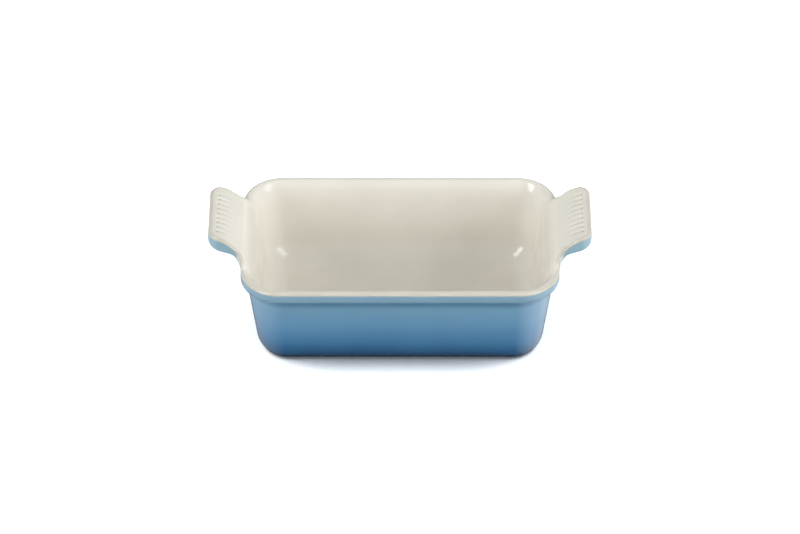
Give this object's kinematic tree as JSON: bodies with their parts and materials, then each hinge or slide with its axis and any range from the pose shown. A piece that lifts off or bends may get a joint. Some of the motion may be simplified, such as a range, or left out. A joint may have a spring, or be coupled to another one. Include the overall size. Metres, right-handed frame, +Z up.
{
  "type": "loaf pan",
  "caption": "Rectangular glazed stoneware loaf pan with tapered walls, a collared rim and a ribbed wing handle at each end.",
  "frame": {"origin": "centre of the foot's underside, on the surface that the pan stands on", "axes": "+X along the long side towards one handle, +Y across it, +Z up out of the opening"},
  "size_m": [0.2986, 0.146, 0.1012],
  "materials": {
    "clay": "matt fired stoneware",
    "bare_foot": "matt unglazed, ground flat",
    "cream_glaze": "gloss",
    "blue_glaze": "gloss, paler at the collar and darker at the base"
  },
  "bodies": {
    "root": {"basin": "clay", "left_handle": "clay", "right_handle": "clay", "foot_ring": "bare_foot", "interior_glaze": "cream_glaze", "exterior_glaze": "blue_glaze"}
  },
  "joints": []
}
